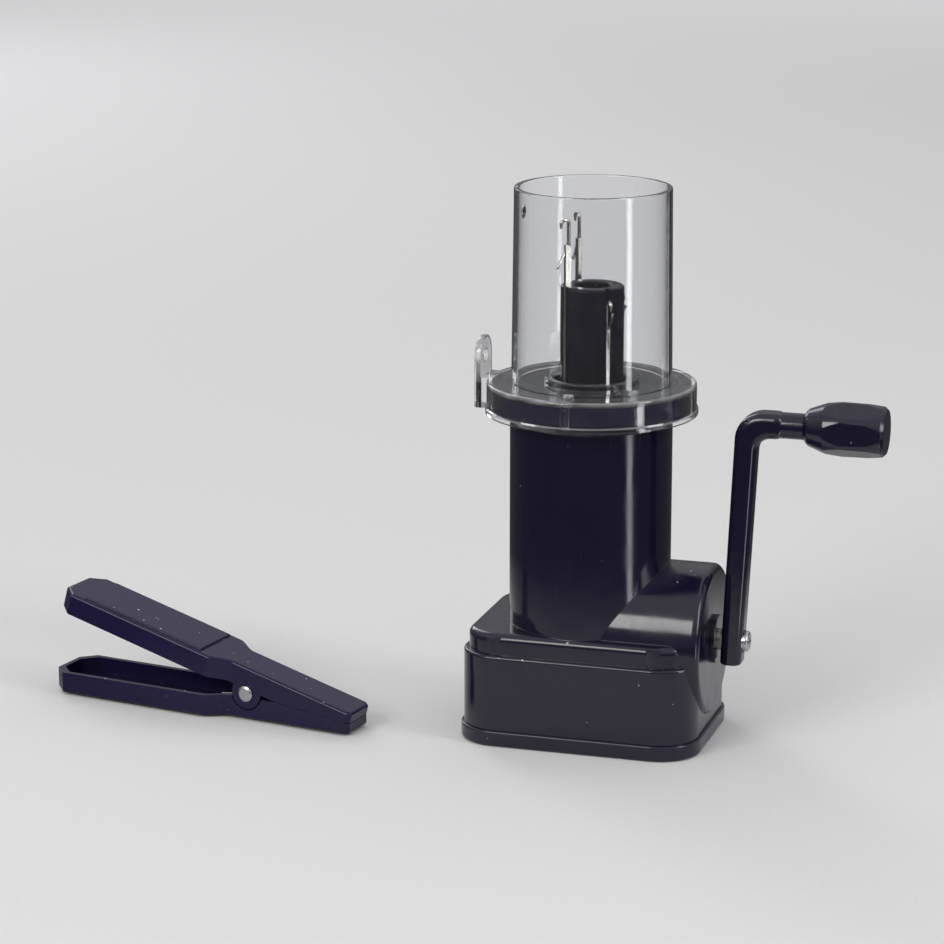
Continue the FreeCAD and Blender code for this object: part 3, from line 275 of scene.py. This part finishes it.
def off_axis(tree, spot):
    """Distance from the upright axis, worked out from coordinates that have been split."""
    flat = add(tree, "ShaderNodeCombineXYZ", {"X": spot.outputs["X"], "Y": spot.outputs["Y"]})
    return add(tree, "ShaderNodeVectorMath", {0: flat.outputs[0]}, operation="LENGTH").outputs["Value"]


def polished_abs(name, colour, worn_and_lit, wave_size, shine=0.5, softness=0.35, peel_depth=0.0022, rim=None):
    """Glossy moulded ABS: sink waves of wave_size mm, orange peel of peel_depth mm, fingermarks, scratches,
    dust, and edges softened by softness mm. Rim is the wall and the foot, in mm, of a rim that is painted
    lighter towards the worn_and_lit colour, as painted light."""
    made, tree, where = new_material(name)
    dust, scratches = dust_and_scratches(tree, where, DUST_SPACING, DUST_SIZE)
    tone = add(tree, "ShaderNodeTexNoise", {"Vector": where, "Scale": spacing(FLOW_PATCH), "Detail": 2})
    depth = add(tree, "ShaderNodeMix", {
        0: tone.outputs["Fac"], 6: linear(colour), 7: linear(colour, FLOW_CONTRAST)}, data_type="RGBA")
    wear_and_painted_light = add(tree, "ShaderNodeMath", {0: scratches, 1: SCRATCH_WEAR}, operation="MULTIPLY").outputs[0]
    # Painted light: the rim under the clear skirt is mixed towards the lighter colour.
    if rim:
        wall, foot = rim
        spot = add(tree, "ShaderNodeSeparateXYZ", {0: where})
        beyond = add(tree, "ShaderNodeMath", {
            0: off_axis(tree, spot), 1: wall * MM}, operation="GREATER_THAN")
        above = add(tree, "ShaderNodeMath", {0: spot.outputs["Z"], 1: foot * MM}, operation="GREATER_THAN")
        on_rim = add(tree, "ShaderNodeMath", {
            0: beyond.outputs[0], 1: above.outputs[0]}, operation="MULTIPLY")
        wear_and_painted_light = add(tree, "ShaderNodeMath", {
            0: on_rim.outputs[0], 1: RIM_PAINTED_LIGHT, 2: wear_and_painted_light}, operation="MULTIPLY_ADD").outputs[0]
    marked_and_painted_light = add(tree, "ShaderNodeMix", {0: wear_and_painted_light, 6: depth.outputs[2], 7: linear(worn_and_lit)}, data_type="RGBA")
    dusty = add(tree, "ShaderNodeMix", {0: dust, 6: marked_and_painted_light.outputs[2], 7: linear(DUST)}, data_type="RGBA")
    finger = add(tree, "ShaderNodeTexNoise", {
        "Vector": where, "Scale": spacing(FINGERMARK), "Detail": 4, "Distortion": 0.6})
    smooth = add(tree, "ShaderNodeMapRange", {
        0: finger.outputs["Fac"], 1: 0.35, 2: 0.75, 3: ROUGH_CLEAN, 4: ROUGH_HANDLED})
    rubbed_or_edge_highlight = add(tree, "ShaderNodeMath", {
        0: scratches, 1: SCRATCH_ROUGH, 2: smooth.outputs[0]}, operation="MULTIPLY_ADD")
    rough = add(tree, "ShaderNodeMix", {0: dust, 2: rubbed_or_edge_highlight.outputs[0], 3: DUST_ROUGH}, data_type="FLOAT")
    edges = add(tree, "ShaderNodeBevel", {"Radius": softness * MM}, samples=4)
    wave = add(tree, "ShaderNodeTexNoise", {"Vector": where, "Scale": spacing(wave_size), "Detail": 1})
    sink = add(tree, "ShaderNodeBump", {
        "Height": wave.outputs["Fac"], "Strength": 1, "Distance": SINK_DEPTH * MM,
        "Normal": edges.outputs["Normal"]})
    skin = add(tree, "ShaderNodeTexNoise", {"Vector": where, "Scale": spacing(PEEL_SPACING), "Detail": 2})
    peel = add(tree, "ShaderNodeBump", {
        "Height": skin.outputs["Fac"], "Strength": 1, "Distance": peel_depth * MM,
        "Normal": sink.outputs["Normal"]})
    surface = add(tree, "ShaderNodeBsdfPrincipled", {
        "Base Color": dusty.outputs[2], "Roughness": rough.outputs[0], "IOR": ABS_IOR,
        "Specular IOR Level": shine, "Normal": peel.outputs["Normal"]})
    add(tree, "ShaderNodeOutputMaterial", {"Surface": surface.outputs["BSDF"]})
    return made


def dress(node, material):
    """Gives a node of the frame its material."""
    piece = bpy.data.objects[node]
    piece.data.materials.clear()
    piece.data.materials.append(material)
    return piece


housing_abs = polished_abs(
    "polished_indigo_abs", ABS_INDIGO, ABS_WORN_AND_LIT, wave_size=14, rim=(RIM_WALL, RIM_FOOT))
dress("main_housing", housing_abs)

# ------------------------------------------------------------ base cover and its screws
# The tray under the block is the same indigo ABS from another mould, so its waves are
# shorter. Four zinc-plated pan-head screws hold it from below.

ZINC_GREY = "#C4C6C8"
PLATING_THIN = 0.72                 # share of the light that thin plating gives back
SCREW_HEAD_EDGE = 0.12              # mm

dress("base_cover", polished_abs("polished_tray_abs", ABS_INDIGO, ABS_WORN_AND_LIT, wave_size=9))


def plated_metal(name, colour, roughness, spangle):
    """Bright plated steel: blotches of spangle mm where the plating grew thicker, and softened edges."""
    made, tree, where = new_material(name)
    bloom = add(tree, "ShaderNodeTexNoise", {"Vector": where, "Scale": spacing(spangle), "Detail": 3})
    tone = add(tree, "ShaderNodeMix", {
        0: bloom.outputs["Fac"], 6: linear(colour, PLATING_THIN), 7: linear(colour)}, data_type="RGBA")
    rough = add(tree, "ShaderNodeMapRange", {
        0: bloom.outputs["Fac"], 1: 0.3, 2: 0.7, 3: roughness * 0.8, 4: roughness * 1.4})
    edges = add(tree, "ShaderNodeBevel", {"Radius": SCREW_HEAD_EDGE * MM}, samples=4)
    grain = add(tree, "ShaderNodeBump", {
        "Height": bloom.outputs["Fac"], "Strength": 0.6, "Distance": 0.01 * MM,
        "Normal": edges.outputs["Normal"]})
    surface = add(tree, "ShaderNodeBsdfPrincipled", {
        "Base Color": tone.outputs[2], "Metallic": 1, "Roughness": rough.outputs[0],
        "Normal": grain.outputs["Normal"]})
    add(tree, "ShaderNodeOutputMaterial", {"Surface": surface.outputs["BSDF"]})
    return made


zinc_plate = plated_metal("bright_zinc_plate", ZINC_GREY, roughness=0.26, spangle=0.8)
dress("cover_screws", zinc_plate)

# ------------------------------------------------------------ clear guard
# Tube, floor, flange, skirt and yarn guide are one moulding in clear polystyrene. It is
# water-clear and hard, so the walls glitter at every edge, and it picks up hairline scratches.

POLYSTYRENE = "#FAFBFC"
POLYSTYRENE_IOR = 1.52
ROUGH_CLEAR, ROUGH_HAIRLINE = 0.015, 0.12
CLEAR_DUST_SPACING, CLEAR_DUST_SIZE = 3.6, 0.26     # mm
FLOW_WAVE, FLOW_DEPTH = 13, 0.06    # mm
GATE_FROM_AXIS = 24.8               # mm
GATE_RADIUS = 2.6                   # mm
GATE_FLAKES = 0.8                   # mm
GATE_DEPTH = 0.9                    # mm
GATE_PAINTED_GLINT = 0.70
FLANGE_TOP = 100                    # mm above the table
FLANGE_EDGE = 28.4                  # mm from the axis
EDGE_PAINTED_HIGHLIGHT = 0.16
FILM_UPRIGHT, FILM_FLAT = 0.005, 0.075
FILM_PATCH = 5                      # mm

clear_polystyrene, tree, where = new_material("clear_polystyrene")
dust, scratches = dust_and_scratches(tree, where, CLEAR_DUST_SPACING, CLEAR_DUST_SIZE)
flow = add(tree, "ShaderNodeTexNoise", {"Vector": where, "Scale": spacing(FLOW_WAVE), "Detail": 1})
waves = add(tree, "ShaderNodeBump", {
    "Height": flow.outputs["Fac"], "Strength": 1, "Distance": FLOW_DEPTH * MM})
hair = add(tree, "ShaderNodeBump", {
    "Height": scratches, "Strength": 0.5, "Distance": 0.006 * MM, "Normal": waves.outputs["Normal"]})

# The gates were snapped off by hand, front and back, so the plastic is torn there, and a white patch over
# each tear is a painted glint.
spot = add(tree, "ShaderNodeSeparateXYZ", {0: where})
either_side = add(tree, "ShaderNodeMath", {0: spot.outputs["Y"]}, operation="ABSOLUTE")
folded = add(tree, "ShaderNodeCombineXYZ", {"X": spot.outputs["X"], "Y": either_side.outputs[0]})
away = add(tree, "ShaderNodeVectorMath", {
    0: folded.outputs[0], 1: (0, GATE_FROM_AXIS * MM, 0)}, operation="DISTANCE")
gate = add(tree, "ShaderNodeMapRange", {
    0: away.outputs["Value"], 1: 0.5 * GATE_RADIUS * MM, 2: GATE_RADIUS * MM, 3: 1, 4: 0})
flakes = add(tree, "ShaderNodeTexNoise", {"Vector": where, "Scale": spacing(GATE_FLAKES), "Detail": 3})
torn = add(tree, "ShaderNodeMath", {0: flakes.outputs["Fac"], 1: gate.outputs[0]}, operation="MULTIPLY")
snapped = add(tree, "ShaderNodeBump", {
    "Height": torn.outputs[0], "Strength": 1, "Distance": GATE_DEPTH * MM, "Normal": hair.outputs["Normal"]})
# Painted glint: the torn gate is whitened in colour where it would sparkle.
gate_painted_glint = add(tree, "ShaderNodeMapRange", {0: torn.outputs[0], 1: 0.33, 2: 0.60, 4: GATE_PAINTED_GLINT})

# A thin grey film of dust has settled on the faces that look up, and a white band along the flange's outer
# top edge is a painted highlight.
facing = add(tree, "ShaderNodeSeparateXYZ", {0: add(tree, "ShaderNodeNewGeometry").outputs["Normal"]})
settled = add(tree, "ShaderNodeMapRange", {
    0: facing.outputs["Z"], 1: 0.2, 2: 0.95, 3: FILM_UPRIGHT, 4: FILM_FLAT})
at_edge = add(tree, "ShaderNodeMath", {
    0: off_axis(tree, spot), 1: FLANGE_EDGE * MM}, operation="GREATER_THAN")
at_top = add(tree, "ShaderNodeMapRange", {
    0: spot.outputs["Z"], 1: (FLANGE_TOP - 1.5) * MM, 2: (FLANGE_TOP - 0.6) * MM})
rubbed_or_edge_highlight = add(tree, "ShaderNodeMath", {0: at_edge.outputs[0], 1: at_top.outputs[0]}, operation="MULTIPLY")
patchy = add(tree, "ShaderNodeTexNoise", {"Vector": where, "Scale": spacing(FILM_PATCH), "Detail": 3})
uneven = add(tree, "ShaderNodeMapRange", {0: patchy.outputs["Fac"], 1: 0.3, 2: 0.7, 3: 0.5, 4: 1.5})
dust_film_and_edge_highlight = add(tree, "ShaderNodeMath", {
    0: rubbed_or_edge_highlight.outputs[0], 1: EDGE_PAINTED_HIGHLIGHT, 2: settled.outputs[0]}, operation="MULTIPLY_ADD")
patchy_film_and_edge_highlight = add(tree, "ShaderNodeMath", {0: dust_film_and_edge_highlight.outputs[0], 1: uneven.outputs[0]}, operation="MULTIPLY")
frosted_and_painted_light = add(tree, "ShaderNodeMath", {0: patchy_film_and_edge_highlight.outputs[0], 1: gate_painted_glint.outputs[0]}, operation="MAXIMUM")
clouded_and_painted_light = add(tree, "ShaderNodeMath", {0: frosted_and_painted_light.outputs[0], 1: dust}, operation="MAXIMUM")
see_through = add(tree, "ShaderNodeMath", {0: 1.0, 1: clouded_and_painted_light.outputs[0]}, operation="SUBTRACT")
tint = add(tree, "ShaderNodeMix", {0: dust, 6: linear(POLYSTYRENE), 7: linear(DUST)}, data_type="RGBA")
rough = add(tree, "ShaderNodeMath", {
    0: scratches, 1: ROUGH_HAIRLINE, 2: ROUGH_CLEAR}, operation="MULTIPLY_ADD")
surface = add(tree, "ShaderNodeBsdfPrincipled", {
    "Base Color": tint.outputs[2], "Roughness": rough.outputs[0], "IOR": POLYSTYRENE_IOR,
    "Transmission Weight": see_through.outputs[0], "Normal": snapped.outputs["Normal"]})
add(tree, "ShaderNodeOutputMaterial", {"Surface": surface.outputs["BSDF"]})
dress("clear_guard", clear_polystyrene)

# ------------------------------------------------------------ cam sleeves
# Two fixed sleeves guide the needle butts between them. The upper one, whose flange shows
# through the clear floor, is indigo ABS, and the hidden lower one is natural acetal.

ACETAL_WHITE = "#E6E3DA"
RESIN_IOR = 1.48
RESIN_CLOUD = 6                     # mm
MATT_SKIN = 0.3                     # mm between the pits that spark erosion left in the mould

dress("upper_cam_sleeve", polished_abs("moulded_sleeve_abs", ABS_INDIGO, ABS_WORN_AND_LIT, wave_size=11))


def natural_resin(name, colour, roughness):
    """Uncoloured acetal or nylon: waxy and slightly translucent, with a fine matt mould skin."""
    made, tree, where = new_material(name)
    cloud = add(tree, "ShaderNodeTexNoise", {"Vector": where, "Scale": spacing(RESIN_CLOUD), "Detail": 3})
    tone = add(tree, "ShaderNodeMix", {
        0: cloud.outputs["Fac"], 6: linear(colour, 0.9), 7: linear(colour)}, data_type="RGBA")
    rough = add(tree, "ShaderNodeMapRange", {
        0: cloud.outputs["Fac"], 1: 0.3, 2: 0.7, 3: roughness * 0.85, 4: roughness * 1.2})
    skin = add(tree, "ShaderNodeTexNoise", {"Vector": where, "Scale": spacing(MATT_SKIN), "Detail": 2})
    grain = add(tree, "ShaderNodeBump", {
        "Height": skin.outputs["Fac"], "Strength": 0.4, "Distance": 0.01 * MM})
    surface = add(tree, "ShaderNodeBsdfPrincipled", {
        "Base Color": tone.outputs[2], "Roughness": rough.outputs[0], "IOR": RESIN_IOR,
        "Subsurface Weight": 0.15, "Subsurface Radius": (1.2 * MM, 1.0 * MM, 0.8 * MM),
        "Normal": grain.outputs["Normal"]})
    add(tree, "ShaderNodeOutputMaterial", {"Surface": surface.outputs["BSDF"]})
    return made


acetal = natural_resin("natural_acetal", ACETAL_WHITE, roughness=0.42)
dress("lower_cam_sleeve", acetal)

# ------------------------------------------------------------ needle cylinder and thrust washer
# The hollow cylinder carries the needles in four slots and is moulded in the same indigo
# ABS, a little duller from the mould's spark-eroded core. A nylon washer takes its weight.

CYLINDER_INDIGO, CYLINDER_WORN = "#13101F", "#2E2A40"
NYLON_CREAM = "#E9E4D6"

dress("needle_cylinder", polished_abs(
    "satin_cylinder_abs", CYLINDER_INDIGO, CYLINDER_WORN, wave_size=8, shine=0.2, softness=0.2, peel_depth=0))
dress("thrust_washer", natural_resin("natural_nylon", NYLON_CREAM, roughness=0.38))

# ------------------------------------------------------------ latch needles
# Four latch needles stamped and drawn from needle steel, hardened, polished and nickel
# plated. Drawing leaves hairlines along the shank, so highlights run up and down it.

NICKEL_DARK, NICKEL_LIGHT = "#B7B4AE", "#E4E1DA"
NICKEL_BRIGHT, NICKEL_DULL = 0.12, 0.26
HAIRLINE_WIDTH, HAIRLINE_LENGTH = 0.12, 9       # mm
NEEDLE_EDGE = 0.1                   # mm

needle_steel, tree, where = new_material("nickel_plated_needle_steel")
drawn = add(tree, "ShaderNodeMapping", {
    "Vector": where, "Scale": (spacing(HAIRLINE_WIDTH), spacing(HAIRLINE_WIDTH), spacing(HAIRLINE_LENGTH))})
lines = add(tree, "ShaderNodeTexNoise", {"Vector": drawn.outputs[0], "Scale": 1, "Detail": 2})
tone = add(tree, "ShaderNodeMix", {
    0: lines.outputs["Fac"], 6: linear(NICKEL_DARK), 7: linear(NICKEL_LIGHT)}, data_type="RGBA")
rough = add(tree, "ShaderNodeMapRange", {
    0: lines.outputs["Fac"], 1: 0.3, 2: 0.7, 3: NICKEL_BRIGHT, 4: NICKEL_DULL})
edges = add(tree, "ShaderNodeBevel", {"Radius": NEEDLE_EDGE * MM}, samples=4)
hair = add(tree, "ShaderNodeBump", {
    "Height": lines.outputs["Fac"], "Strength": 0.5, "Distance": 0.004 * MM,
    "Normal": edges.outputs["Normal"]})
surface = add(tree, "ShaderNodeBsdfPrincipled", {
    "Base Color": tone.outputs[2], "Metallic": 1, "Roughness": rough.outputs[0],
    "Normal": hair.outputs["Normal"]})
add(tree, "ShaderNodeOutputMaterial", {"Surface": surface.outputs["BSDF"]})
for number in range(1, 5):
    dress(f"needle_{number}", needle_steel)
    dress(f"latch_{number}", needle_steel)

# ------------------------------------------------------------ bevel gears, shaft, ring and bush
# The crank's shaft is turned steel in a flanged bush of the housing's ABS, and turns the
# needle cylinder through a pair of moulded acetal bevel gears. A spring-steel ring keeps
# the gear on.

TURNED_STEEL, OILED_STEEL = "#B3B1AD", "#6F6C68"
GROOVE_SHADE = 0.75                 # share of the light that comes back from the bottom of a groove
GROOVE_RUN = 6                      # mm

dress("cylinder_gear", acetal)
dress("drive_gear", acetal)
dress("shaft_bush", housing_abs)


def turned_steel(name, colour, roughness, groove):
    """Turned or drawn steel: rings a groove mm apart round the X axis, which catch the light in bands."""
    made, tree, where = new_material(name)
    along = add(tree, "ShaderNodeMapping", {
        "Vector": where, "Scale": (spacing(groove), spacing(GROOVE_RUN), spacing(GROOVE_RUN))})
    rings = add(tree, "ShaderNodeTexNoise", {"Vector": along.outputs[0], "Scale": 1, "Detail": 2})
    tone = add(tree, "ShaderNodeMix", {
        0: rings.outputs["Fac"], 6: linear(colour, GROOVE_SHADE), 7: linear(colour)}, data_type="RGBA")
    rough = add(tree, "ShaderNodeMapRange", {
        0: rings.outputs["Fac"], 1: 0.3, 2: 0.7, 3: roughness * 0.8, 4: roughness * 1.3})
    lines = add(tree, "ShaderNodeBump", {
        "Height": rings.outputs["Fac"], "Strength": 0.6, "Distance": 0.006 * MM})
    surface = add(tree, "ShaderNodeBsdfPrincipled", {
        "Base Color": tone.outputs[2], "Metallic": 1, "Roughness": rough.outputs[0],
        "Normal": lines.outputs["Normal"]})
    add(tree, "ShaderNodeOutputMaterial", {"Surface": surface.outputs["BSDF"]})
    return made


dress("drive_shaft", turned_steel("turned_mild_steel", TURNED_STEEL, roughness=0.3, groove=0.25))
dress("gear_ring", turned_steel("oiled_spring_steel", OILED_STEEL, roughness=0.34, groove=0.3))

# ------------------------------------------------------------ crank arm, screw and knob
# Arm and knob are indigo ABS. The arm is screwed to the shaft's square end, and the
# six-sided knob snaps over its spindle, where it turns in the fingers.

crank_abs = polished_abs("polished_crank_abs", ABS_INDIGO, ABS_WORN_AND_LIT, wave_size=7)
dress("crank_arm", crank_abs)
dress("crank_knob", crank_abs)
dress("crank_screw", zinc_plate)

# ------------------------------------------------------------ clip weight
# Two channel-shaped levers in a slightly bluer indigo ABS pinch the cord's end and pull
# it down. A plated pin holds them, and a torsion spring of drawn wire shuts the jaws.

CLIP_INDIGO, CLIP_WORN = "#191432", "#332D52"
SPRING_GREY = "#8F8C87"

clip_abs = polished_abs(
    "polished_clip_abs", CLIP_INDIGO, CLIP_WORN, wave_size=8, shine=0.25, softness=0.15)
dress("clip_lower_lever", clip_abs)
dress("clip_upper_lever", clip_abs)
dress("clip_pin", zinc_plate)

# One leg of the spring lies on each lever, and the coil between them twists as the levers are squeezed. The
# spring is copied into an object of its own, with its shape unchanged.
spring_wire = turned_steel("drawn_spring_wire", SPRING_GREY, roughness=0.28, groove=0.2)
spring = bpy.data.objects.new("twisting_spring", dress("clip_spring", spring_wire).data.copy())
bpy.context.scene.collection.objects.link(spring)
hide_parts("clip_spring")
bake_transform(spring)
